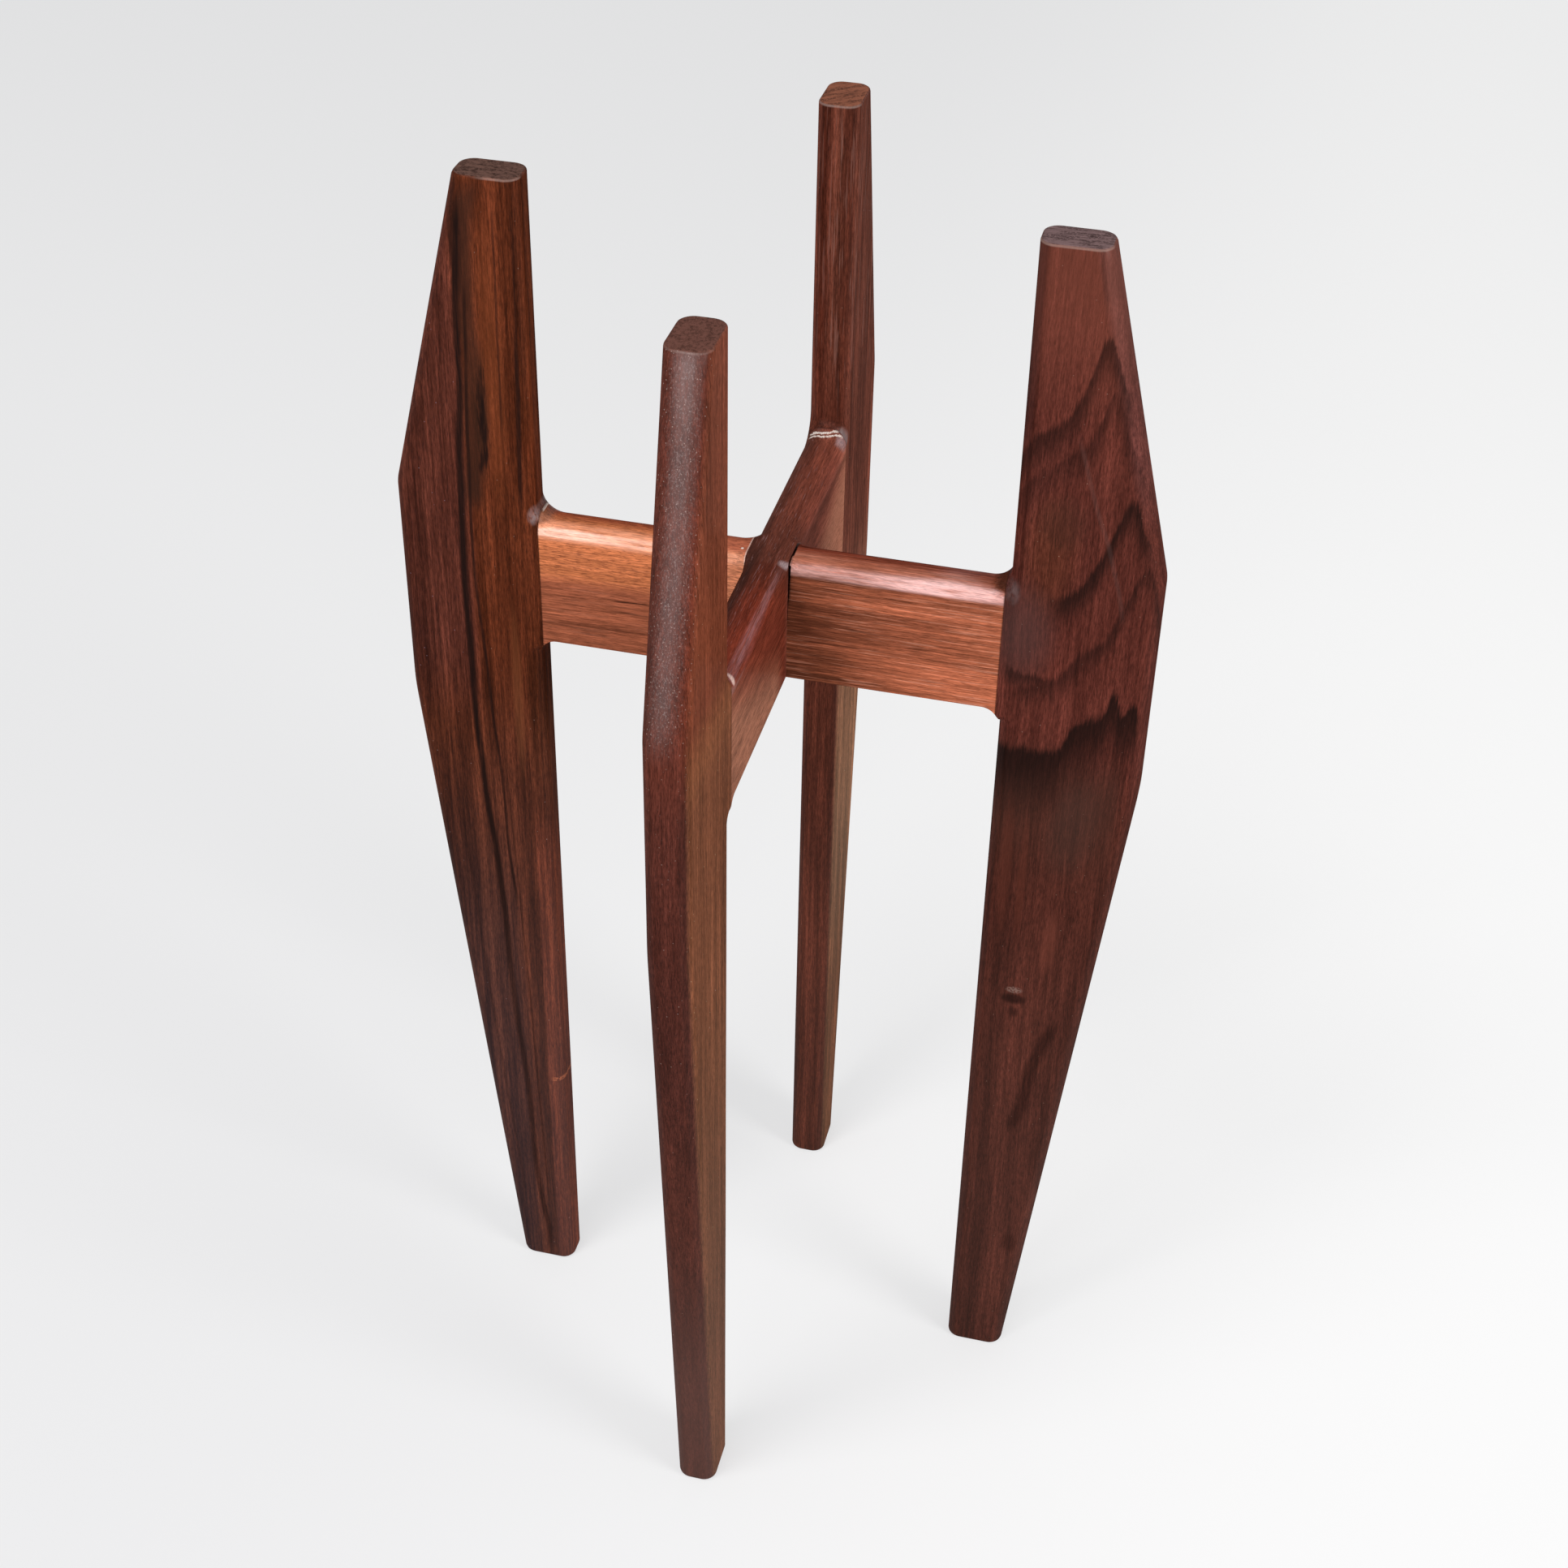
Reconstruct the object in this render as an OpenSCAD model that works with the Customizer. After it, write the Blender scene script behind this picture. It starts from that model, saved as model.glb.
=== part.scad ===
// Plant stand: four tapered wooden legs, held apart by a cross of two half-lapped rails.
// The pot stands on the cross, between the upper ends of the legs.
// Millimetres, Z up. The origin is on the floor, under the middle of the cross.
// The legs stand on the X and Y axes: left at -X, right at +X, front at -Y, back at +Y.

/* [Overall] */
// Height of the stand
stand_h = 630; // [540:5:760]
// Clear width between opposite legs, where the pot stands
clear_span = 211; // [150:1:320]
// Thickness of the boards that legs and rails are cut from
stock_t = 19; // [14:0.5:30]

/* [Legs] */
// Width of a leg between its knees, where it is widest
leg_w = 64.5; // [50:0.5:100]
// Width of a leg at its top end
top_w = 29; // [20:0.5:48]
// Width of a leg at its foot
foot_w = 28.5; // [20:0.5:48]
// Height of the upper knee above the top of the rails
upper_knee_rise = 11.5; // [0:0.5:50]
// Depth of the lower knee below the underside of the rails
lower_knee_drop = 36; // [0:1:150]
// How far the joint face of a leg stands in from its inner edge
joint_step = 1.5; // [0.5:0.25:5]

/* [Rails] */
// Height of the underside of the rails above the floor
rail_z = 411; // [200:0.5:500]
// Height of a rail
rail_h = 60; // [50:1:90]

/* [Edges] */
// Radius of the rounded long edges
edge_r = 6.35; // [3:0.05:9]
// Radius of the corner between a leg and the top of its rail
upper_fillet_r = 9.5; // [7:0.5:20]
// Radius of the corner between a leg and the underside of its rail
lower_fillet_r = 8; // [7:0.5:20]
// Radius at which the rounded edges turn the inner corners of the cross
cross_turn_r = 6.35; // [2:0.05:12]

/* [Joints] */
// Diameter of a dowel
dowel_d = 8; // [6:0.5:10]
// Length of a dowel, half of it in the leg and half in the rail
dowel_l = 50; // [30:1:70]
// Height of the upper dowel of a joint above the lower one
dowel_pitch = 32; // [20:1:40]
// Gap round a dowel in its holes
dowel_gap = 0.05; // [0.01:0.01:0.3]
// Space for glue at each end of a dowel
dowel_end_gap = 1.5; // [0.5:0.5:4]
// Bevel at the ends of a dowel
dowel_bevel = 1; // [0.25:0.25:2]
// Gap at each side of the half-lap joint
lap_gap = 0.2; // [0.05:0.05:0.5]

/* [Hidden] */
inner_r = clear_span / 2;          // inner edge of a leg, from the middle of the stand
joint_r = inner_r - joint_step;    // where a rail ends against a leg
knee_r = inner_r + leg_w;          // outer edge of a leg between its knees
rail_top = rail_z + rail_h;
lap_z = rail_z + rail_h / 2;       // where the two rails rest on each other
upper_knee_z = rail_top + upper_knee_rise;
lower_knee_z = rail_z - lower_knee_drop;
upper_fillet = [inner_r - upper_fillet_r, rail_top + upper_fillet_r]; // centre, as [r, z]
lower_fillet = [inner_r - lower_fillet_r, rail_z - lower_fillet_r];
cross_turn = stock_t / 2 + cross_turn_r; // centre of a turn, from both axes
slack = 1;                         // how far a cut runs past a face
$fn = 96;

SIDES = [["right", 0], ["back", 90], ["left", 180], ["front", 270]]; // and their bearings
LEVELS = [["upper", lap_z + dowel_pitch / 2], ["lower", lap_z - dowel_pitch / 2]];

leg_colour = [0.30, 0.15, 0.11];
rail_colour = [0.58, 0.31, 0.20];
dowel_colour = [0.80, 0.66, 0.45];

// Draws its children, and again on the other side of the XZ plane
module both_faces() {
    children();
    mirror([0, 1, 0]) children();
}

// Draws its children at both ends of a rail that lies along X
module both_ends() {
    children();
    mirror([1, 0, 0]) children();
}

// Stands a drawing in the XZ plane, with its thickness centred on Y
module upright(thickness) {
    rotate([90, 0, 0]) linear_extrude(thickness, center = true) children();
}

// Turns a section about a line along Y: its x is the radius, its y runs along +Y
module turned_about_y(angle = 360) {
    rotate([-90, 0, 0]) rotate_extrude(angle = angle) children();
}

// What a rounded edge takes off a square corner at the origin, solid towards +x and +y
module edge_waste(past = slack) {
    difference() {
        translate([-past, -slack]) square([edge_r + past, edge_r + slack]);
        translate([edge_r, edge_r]) circle(edge_r);
    }
}

// Circles that shape the corners between a leg and its rail, drawn in the XZ plane
module corner_circles() {
    translate(upper_fillet) circle(upper_fillet_r);
    translate(lower_fillet) circle(lower_fillet_r);
}

// A plate whose outer edge is rounded on both faces. It leans from [r, z] by an angle.
module outer_slab(point, lean) {
    translate([point.x, 0, point.y]) rotate([0, lean, 0])
        linear_extrude(3 * stand_h, center = true) difference() {
            translate([-stand_h, -stock_t / 2]) square([stand_h, stock_t]);
            both_faces() translate([0, -stock_t / 2]) mirror([1, 0]) edge_waste();
        }
}

// Side of a leg before its outer edge is cut: straight inside, with a step for the rail
module leg_blank() {
    translate([inner_r, 0]) square([leg_w + slack, stand_h]);
    difference() {
        translate([joint_r, lower_fillet.y])
            square([joint_step + slack, upper_fillet.y - lower_fillet.y]);
        corner_circles();
    }
}

// Waste of the rounding that runs down a leg, round the corner and along its rail
module upper_edge_waste() {
    both_faces() {
        translate([inner_r, -stock_t / 2, upper_fillet.y])
            linear_extrude(stand_h + slack - upper_fillet.y) edge_waste();
        translate([upper_fillet.x, -stock_t / 2, upper_fillet.y])
            turned_about_y(90) translate([upper_fillet_r, 0]) edge_waste();
        translate([cross_turn, -stock_t / 2, rail_top]) rotate([0, 90, 0])
            linear_extrude(upper_fillet.x - cross_turn) edge_waste();
    }
}

// Waste of the rounding on a leg's inner edge below its rail. It fades out at the corner.
module lower_edge_waste() {
    both_faces() {
        translate([inner_r, -stock_t / 2, -slack])
            linear_extrude(lower_fillet.y + slack) edge_waste();
        translate([inner_r, -stock_t / 2, lower_fillet.y]) turned_about_y() edge_waste(0);
    }
}

// Waste of the roundings that turn the four inner corners of the cross
module cross_corner_waste() {
    for (bearing = [0, 90, 180, 270])
        rotate(bearing) translate([cross_turn, cross_turn, rail_top - edge_r])
            rotate(180) rotate_extrude(angle = 90) difference() {
                square([cross_turn_r + edge_r, edge_r + slack]);
                translate([cross_turn_r + edge_r, 0]) circle(edge_r);
            }
}

// The two dowel holes of a joint, deep enough in the leg and in the rail
module dowel_holes() {
    depth = dowel_l / 2 + dowel_end_gap;
    for (level = LEVELS)
        translate([joint_r - depth, 0, level[1]]) rotate([0, 90, 0])
            cylinder(d = dowel_d + 2 * dowel_gap, h = 2 * depth);
}

module leg(bearing) {
    upper_lean = atan2(top_w - leg_w, stand_h - upper_knee_z);
    lower_lean = atan2(leg_w - foot_w, lower_knee_z);
    color(leg_colour) rotate(bearing) difference() {
        intersection() {
            upright(stock_t + 2 * slack) leg_blank();
            outer_slab([knee_r, upper_knee_z], upper_lean);
            outer_slab([knee_r, lower_knee_z], 0);
            outer_slab([knee_r, lower_knee_z], lower_lean);
        }
        upper_edge_waste();
        lower_edge_waste();
        dowel_holes();
    }
}

// Side of a rail, with the ends flared to meet the corners of the legs
module rail_side() {
    translate([-joint_r, rail_z]) square([2 * joint_r, rail_h]);
    both_ends() difference() {
        union() {
            translate([upper_fillet.x, lap_z])
                square([joint_r - upper_fillet.x, upper_fillet.y - lap_z]);
            translate([lower_fillet.x, lower_fillet.y])
                square([joint_r - lower_fillet.x, lap_z - lower_fillet.y]);
        }
        corner_circles();
    }
}

// A rail along X. Its notch for the other rail runs up or down from the level of the lap.
module rail(notch_up) {
    notch_z = notch_up ? lap_z : rail_z - slack;
    color(rail_colour) difference() {
        upright(stock_t) rail_side();
        both_ends() {
            upper_edge_waste();
            dowel_holes();
        }
        cross_corner_waste();
        translate([-stock_t / 2 - lap_gap, -stock_t, notch_z])
            cube([stock_t + 2 * lap_gap, 2 * stock_t, rail_h / 2 + slack]);
    }
}

module rail_left_right() {
    rail(notch_up = true);
}

module rail_front_back() {
    rotate(90) rail(notch_up = false);
}

module dowel(bearing, z) {
    r = dowel_d / 2;
    tip_r = r - dowel_bevel;
    color(dowel_colour) rotate(bearing) translate([joint_r - dowel_l / 2, 0, z])
        rotate([0, 90, 0]) rotate_extrude() polygon([
            [0, 0], [tip_r, 0], [r, dowel_bevel],
            [r, dowel_l - dowel_bevel], [tip_r, dowel_l], [0, dowel_l]
        ]);
}

for (side = SIDES)
    leg(side[1]);
rail_left_right();
rail_front_back();
for (side = SIDES, level = LEVELS)
    dowel(side[1], level[1]);
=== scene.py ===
"""Plant stand: four kneed legs of dark red-brown hardwood on a half-lapped cross of lighter rails.

Sizes are in millimetres, in the frame of the CAD model, and become metres when a mesh is made.
A board's own directions are: along its grain, across its width, and through its thickness.
"""
import math
import bmesh
import bpy
from mathutils import Matrix, Vector, noise

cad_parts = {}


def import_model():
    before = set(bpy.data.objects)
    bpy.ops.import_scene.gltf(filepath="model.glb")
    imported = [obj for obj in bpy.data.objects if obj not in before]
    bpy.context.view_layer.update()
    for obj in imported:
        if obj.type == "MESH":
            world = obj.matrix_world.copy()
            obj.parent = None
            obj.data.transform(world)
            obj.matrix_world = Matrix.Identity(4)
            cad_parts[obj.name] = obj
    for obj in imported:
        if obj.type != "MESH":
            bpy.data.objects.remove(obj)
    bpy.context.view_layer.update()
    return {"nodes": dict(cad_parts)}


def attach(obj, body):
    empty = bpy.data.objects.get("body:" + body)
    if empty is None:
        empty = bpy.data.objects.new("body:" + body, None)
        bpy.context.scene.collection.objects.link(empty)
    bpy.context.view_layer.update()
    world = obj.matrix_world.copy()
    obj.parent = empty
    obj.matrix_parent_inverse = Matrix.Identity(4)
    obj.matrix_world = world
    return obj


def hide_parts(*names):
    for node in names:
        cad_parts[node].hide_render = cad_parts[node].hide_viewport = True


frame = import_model()

MM = 0.001

# ---------------------------------------------------------------- sizes of the stand
STAND_H = 630
STOCK_T = 19
HALF_T = STOCK_T / 2
INNER_R = 105.5            # inner edge of a leg, from the middle of the stand
JOINT_R = 104              # where a rail ends against a leg
KNEE_R = 170               # outer edge of a leg between its knees
TOP_W, FOOT_W, LEG_W = 29, 28.5, 64.5
UPPER_KNEE_Z, LOWER_KNEE_Z = 482.5, 375
RAIL_Z, RAIL_TOP, LAP_Z = 411, 471, 441
EDGE_R = 6.35              # radius of the rounded long edges
UPPER_FILLET_R, LOWER_FILLET_R = 9.5, 8
UPPER_FILLET = (INNER_R - UPPER_FILLET_R, RAIL_TOP + UPPER_FILLET_R)
LOWER_FILLET = (INNER_R - LOWER_FILLET_R, RAIL_Z - LOWER_FILLET_R)
CROSS_TURN_R = 6.35        # turn of the rounded edges at the inner corners of the cross
CROSS_TURN = HALF_T + CROSS_TURN_R
NOTCH = HALF_T + 0.2       # half the width of the notch of a half-lap
DOWEL_D, DOWEL_PITCH, DOWEL_DEPTH = 8.1, 32, 26.5

TOP_EASE, FOOT_EASE, RAIL_EASE, SEAM = 1.1, 1.9, 0.5, 0.15
KNEE_BLEND = 0.6           # how far the planes of an outer edge run into each other at a knee
HOLD = 0.4                 # a row this far from a rounding keeps the flat beside it flat
LAP_SPREAD = 0.005         # spreads the points of a notch's wall over its floor, so no face has no area
ROUND_STEPS = 9
LEVEL_STEP, KNEE_STEP, LEAST_STEP = 6, 1.25, 0.08      # between the rows of a leg
UNEVEN = 0.008             # the share of a leg's thickness that sanding by hand leaves or takes
MERGE = 0.0005             # points closer than this become one
SHARP = math.radians(32)   # edges from this angle on are drawn sharp
FLAT_STEPS = 10            # between the points across a leg's flat
HOLE_SIDES, OVERCUT = 32, 2    # sides of a dowel hole, and how far its cut starts outside the wood

# ---------------------------------------------------------------- floor, lamps and camera, in metres
FLOOR_R = 9
FLOOR_DARK, FLOOR_PALE = (0.84, 0.84, 0.85), (1.0, 1.0, 1.0)
LAMP_TARGET = (0, 0, 0.35)
CAMERA_AT, CAMERA_TURN = (0.21482, -0.88132, 1.02065), (0.2312, 0.6414, 0.0201)
FOCAL, PHOTO_WIDTH, SENSOR = 2998.53, 1932, 36         # two in pixels, and one in millimetres

BEARINGS = {"right": 0, "back": 90, "left": 180, "front": 270}


# ---------------------------------------------------------------- shapes
def rounding(past):
    """How far a rounded edge has dropped at this distance past the flat's end"""
    past = min(max(past, 0), EDGE_R)
    return EDGE_R - math.sqrt(EDGE_R ** 2 - past ** 2)


def arc(steps):
    """Angles over a quarter turn"""
    return [math.radians(90 * i / steps) for i in range(steps + 1)]


def inner_edge(z):
    """Where a leg's inner edge is at height z: straight, with a step for the rail's end"""
    if LOWER_FILLET[1] < z < UPPER_FILLET[1]:
        reach = JOINT_R
        for (r, centre_z), radius in ((UPPER_FILLET, UPPER_FILLET_R), (LOWER_FILLET, LOWER_FILLET_R)):
            if abs(z - centre_z) < radius:
                reach = max(reach, r + math.sqrt(radius ** 2 - (z - centre_z) ** 2))
        return reach
    return INNER_R


def leg_half(r, z):
    """Half the thickness of a leg near its inner edge, whose rounding turns along the rail"""
    if LOWER_FILLET[1] < z < UPPER_FILLET[1]:
        inside = min(math.hypot(r - UPPER_FILLET[0], z - UPPER_FILLET[1]) - UPPER_FILLET_R,
                     math.hypot(r - INNER_R, z - LOWER_FILLET[1]))
    else:
        inside = r - INNER_R
    inside = min(max(inside, 0), EDGE_R)
    return HALF_T - EDGE_R + math.sqrt(EDGE_R ** 2 - (EDGE_R - inside) ** 2)


def soft_min(a, b):
    """The lesser of two numbers, with a soft turn where they are nearly the same"""
    near = max(KNEE_BLEND - abs(a - b), 0) / KNEE_BLEND
    return min(a, b) - near * near * KNEE_BLEND / 4


def outer_edge(y, z):
    """Where a leg's outer edge is: three planes that meet at the knees, rounded at both faces"""
    upper = math.atan2(LEG_W - TOP_W, STAND_H - UPPER_KNEE_Z)
    lower = math.atan2(LEG_W - FOOT_W, LOWER_KNEE_Z)
    drop = rounding(abs(y) - (HALF_T - EDGE_R))
    reach = KNEE_R - drop
    reach = soft_min(reach, KNEE_R - (z - UPPER_KNEE_Z) * math.tan(upper) - drop / math.cos(upper))
    return soft_min(reach, KNEE_R - (LOWER_KNEE_Z - z) * math.tan(lower) - drop / math.cos(lower))


def leg_side(z):
    """One face of a leg at height z, from the middle of its inner edge to that of its outer edge"""
    r_in = inner_edge(z)
    y_in = leg_half(r_in, z)
    side = [(r_in, y_in * i / 4) for i in range(4)]
    for turn in arc(ROUND_STEPS):
        r = r_in + EDGE_R * (1 - math.cos(turn))
        side.append((r, leg_half(r, z)))
    start, end = r_in + EDGE_R + HOLD, outer_edge(HALF_T, z) - HOLD
    side += [(start + (end - start) * i / FLAT_STEPS, HALF_T) for i in range(FLAT_STEPS + 1)]
    for turn in arc(ROUND_STEPS):
        y = HALF_T - EDGE_R + EDGE_R * math.cos(turn)
        side.append((outer_edge(y, z), y))
    return side + [(outer_edge(0, z), (HALF_T - EDGE_R) * i / 3) for i in (2, 1, 0)]


def leg_levels():
    """Heights of a leg's rows, closer together at its knees and fillets"""
    levels = {FOOT_EASE + HOLD, STAND_H - TOP_EASE - HOLD}
    levels |= set(range(4, STAND_H - 2, LEVEL_STEP))
    for knee in (UPPER_KNEE_Z, LOWER_KNEE_Z):
        levels |= {knee + KNEE_STEP * i for i in range(-7, 8)}
    for turn in arc(12):
        dz = EDGE_R * (1 - math.cos(turn))
        levels.add(LOWER_FILLET[1] + dz)
        step = UPPER_FILLET_R + dz
        levels.add(UPPER_FILLET[1] - math.sqrt(step ** 2 - (JOINT_R - UPPER_FILLET[0]) ** 2))
    levels |= {UPPER_FILLET[1] - 0.55 * i for i in range(10)}
    levels |= {LOWER_FILLET[1] + 0.5 * i for i in range(10)}
    levels |= {UPPER_FILLET[1] + HOLD, LOWER_FILLET[1] - HOLD}
    kept = []
    for z in sorted(levels):
        if not kept or z - kept[-1] > LEAST_STEP:
            kept.append(z)
    return kept


def inset(ring, by, middle):
    """A ring drawn in towards its middle, for an eased edge"""
    reach = max(abs(r - middle) for r, _ in ring)
    return [(middle + (r - middle) * (1 - by / reach), y * (1 - by / HALF_T)) for r, y in ring]


def both_sides(side):
    """A full ring from one side of it, whose first and last point lie on the middle line"""
    return side + [(p, -q) for p, q in reversed(side[1:-1])]


def eased_rings(ring, at, ease, way, middle):
    """Rings of an eased end, from the full ring to the flat end and a row that keeps it flat"""
    rings = []
    for turn in arc(4):
        rings.append((at + way * ease * (math.sin(turn) - 1),
                      inset(ring, ease * (1 - math.cos(turn)), middle)))
    rings.append((at, inset(ring, ease + HOLD, middle)))
    return rings


def skin(name, rings):
    """A closed mesh over rings of points, in millimetres, with both ends capped"""
    work = bmesh.new()
    rows = [[work.verts.new(p) for p in ring] for ring in rings]
    count = len(rows[0])
    for low, high in zip(rows, rows[1:]):
        for i in range(count):
            j = (i + 1) % count
            work.faces.new((low[i], low[j], high[j], high[i]))
    work.faces.new(list(reversed(rows[0])))
    work.faces.new(rows[-1])
    bmesh.ops.remove_doubles(work, verts=work.verts, dist=MERGE)
    bmesh.ops.dissolve_degenerate(work, edges=work.edges, dist=MERGE)
    bmesh.ops.recalc_face_normals(work, faces=work.faces)
    for vert in work.verts:
        vert.co *= MM
    return placed(name, work)


def placed(name, work):
    """An object in the scene, of a mesh that is done"""
    mesh = bpy.data.meshes.new(name)
    work.to_mesh(mesh)
    work.free()
    return linked(name, mesh)


def linked(name, data):
    """An object in the scene, of a mesh, a light or a camera"""
    thing = bpy.data.objects.new(name, data)
    bpy.context.scene.collection.objects.link(thing)
    return thing


def leg(side):
    """A leg, with the slight unevenness that sanding by hand leaves on its faces"""
    bearing = math.radians(BEARINGS[side])
    foot, top = both_sides(leg_side(0)), both_sides(leg_side(STAND_H))
    middle_foot, middle_top = INNER_R + FOOT_W / 2, INNER_R + TOP_W / 2
    rows = eased_rings(foot, 0, FOOT_EASE, -1, middle_foot)[::-1]
    rows += [(z, both_sides(leg_side(z))) for z in leg_levels()]
    rows += eased_rings(top, STAND_H, TOP_EASE, 1, middle_top)
    rings = []
    for z, ring in rows:
        points = []
        free = min(max((abs(z - LAP_Z) - 40) / 20, 0), 1)      # the joint stays even
        for r, y in ring:
            wave = noise.noise(Vector((r * 0.03 + BEARINGS[side], y * 0.05, z * 0.012)))
            y *= 1 + UNEVEN * wave * free
            points.append((r * math.cos(bearing) - y * math.sin(bearing),
                           r * math.sin(bearing) + y * math.cos(bearing), z))
        rings.append(points)
    return skin("leg_" + side + "_wood", rings)


def rail_top(u, v):
    """Height of a rail's top at u along it and v across it"""
    u, v = abs(u), abs(v)
    drop = rounding(v - (HALF_T - EDGE_R))
    if u < CROSS_TURN:
        past = math.hypot(CROSS_TURN - u, CROSS_TURN - v) - CROSS_TURN_R
        return RAIL_TOP - rounding(EDGE_R - past)
    if u <= UPPER_FILLET[0]:
        return RAIL_TOP - drop
    return UPPER_FILLET[1] - math.sqrt((UPPER_FILLET_R + drop) ** 2 - (u - UPPER_FILLET[0]) ** 2)


def rail_bottom(u):
    """Height of a rail's underside at u along it"""
    along = abs(u) - LOWER_FILLET[0]
    if along <= 0:
        return RAIL_Z
    return LOWER_FILLET[1] + math.sqrt(LOWER_FILLET_R ** 2 - along ** 2)


def rail_half_ring(u):
    """Half a rail's section, as [z, v], from the middle of its underside to that of its top"""
    low, high = rail_bottom(u), rail_top(u, HALF_T)
    half = [(low, v) for v in (0, 3, 6, HALF_T - RAIL_EASE - HOLD)]
    for turn in arc(3):
        half.append((low + RAIL_EASE * (1 - math.cos(turn)), HALF_T - RAIL_EASE * (1 - math.sin(turn))))
    walls = [low + RAIL_EASE + HOLD, low + 10, low + 20, LAP_Z, LAP_Z + 8, high - 6, high - HOLD]
    half += [(z, HALF_T) for z in walls]
    for turn in arc(ROUND_STEPS + 3):
        v = HALF_T - EDGE_R + EDGE_R * math.cos(turn)
        half.append((rail_top(u, v), v))
    v = HALF_T - EDGE_R - HOLD
    return half + [(rail_top(u, v), v), (rail_top(u, 0), 0)]


def rail_stations():
    """Where a rail's rows are: those of half its length outside its notch, and all inside it"""
    half = {NOTCH, CROSS_TURN + HOLD, UPPER_FILLET[0] - HOLD, JOINT_R}
    half |= {NOTCH + 0.5 * i for i in range(13)}
    half |= {NOTCH + 7 + 4.3 * i for i in range(19)}
    half |= {UPPER_FILLET[0] + 0.5 * i for i in range(16)}
    return sorted(half), sorted(set(range(-9, 10)) | {-NOTCH, NOTCH})


def rail(name, bearing, notch_up, opened=0.0):
    """A rail with its notch. opened is the gap that the notch's far shoulder leaves at its top."""
    turned = Matrix.Rotation(math.radians(bearing), 3, "Z")
    outside, inside = rail_stations()

    def section(u, notched=False, gap=0.0, shrink=0.0):
        ring = []
        for z, v in both_sides(rail_half_ring(u)):
            if notched and (z > LAP_Z) == notch_up:
                v *= 1 - abs(z - LAP_Z) * LAP_SPREAD
                z = LAP_Z
            along = u
            if gap and z > LAP_Z:
                front = 0.75 - 0.25 * v / HALF_T
                along += gap * front * ((z - LAP_Z) / (RAIL_TOP - LAP_Z)) ** 1.5
            if shrink:
                v *= 1 - shrink / HALF_T
                z += shrink * (1 if z < LAP_Z else -1)
            ring.append(tuple(turned @ Vector((along, v, z))))
        return ring

    rings = [section(-JOINT_R, shrink=SEAM)]
    rings += [section(-u if u < JOINT_R else -u + SEAM) for u in reversed(outside)]
    rings += [section(u, notched=True) for u in inside]
    rings += [section(u if u < JOINT_R else u - SEAM, gap=opened if u == NOTCH else 0) for u in outside]
    rings += [section(JOINT_R, shrink=SEAM)]
    return skin(name, rings)


def drill(piece, bearing, from_r, to_r):
    """Cuts the two dowel holes of a joint"""
    cutter = bmesh.new()
    radius = MM * DOWEL_D / 2
    for level in (LAP_Z - DOWEL_PITCH / 2, LAP_Z + DOWEL_PITCH / 2):
        place = Matrix.Rotation(math.radians(bearing), 4, "Z") @ Matrix.Translation(
            (MM * (from_r + to_r) / 2, 0, MM * level)) @ Matrix.Rotation(math.radians(90), 4, "Y")
        bmesh.ops.create_cone(cutter, cap_ends=True, segments=HOLE_SIDES, radius1=radius, radius2=radius,
                              depth=MM * (to_r - from_r), matrix=place)
    holes = placed("holes", cutter)
    cut = piece.modifiers.new("holes", "BOOLEAN")
    cut.operation, cut.solver, cut.object = "DIFFERENCE", "EXACT", holes
    shown = piece.evaluated_get(bpy.context.evaluated_depsgraph_get())
    mesh = bpy.data.meshes.new_from_object(shown)
    piece.modifiers.clear()
    piece.data = mesh
    bpy.data.objects.remove(holes)


def settle(piece, finish, node):
    """Gives a piece its finish and puts it in the place of its CAD node"""
    for face in piece.data.polygons:
        face.use_smooth = True
    piece.data.set_sharp_from_angle(angle=SHARP)
    piece.data.materials.clear()
    piece.data.materials.append(finish)
    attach(piece, "root")
    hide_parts(node)


# ---------------------------------------------------------------- shader maths
class Wire:
    """A value in a finish's node tree. Arithmetic on it adds the nodes that work it out."""

    def __init__(self, shade, socket):
        self.shade, self.socket = shade, socket

    def sum(self, operation, *others):
        return self.shade.node("ShaderNodeMath", {"operation": operation}, [self, *others])

    def __add__(self, other): return self.sum("ADD", other)
    def __sub__(self, other): return self.sum("SUBTRACT", other)
    def __mul__(self, other): return self.sum("MULTIPLY", other)
    def __truediv__(self, other): return self.sum("DIVIDE", other)
    def __abs__(self): return self.sum("ABSOLUTE")
    def __neg__(self): return self * -1
    def __rsub__(self, other): return self * -1 + other
    __radd__, __rmul__ = __add__, __mul__

    def at_most(self, other): return self.sum("MINIMUM", other)
    def at_least(self, other): return self.sum("MAXIMUM", other)

    def rise(self, start, end):
        """0 up to start, 1 from end, and a smooth step between. It falls where start is above end."""
        return self.shade.node("ShaderNodeMapRange", {"interpolation_type": "SMOOTHSTEP"},
                               {"Value": self, "From Min": start, "From Max": end})


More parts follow.
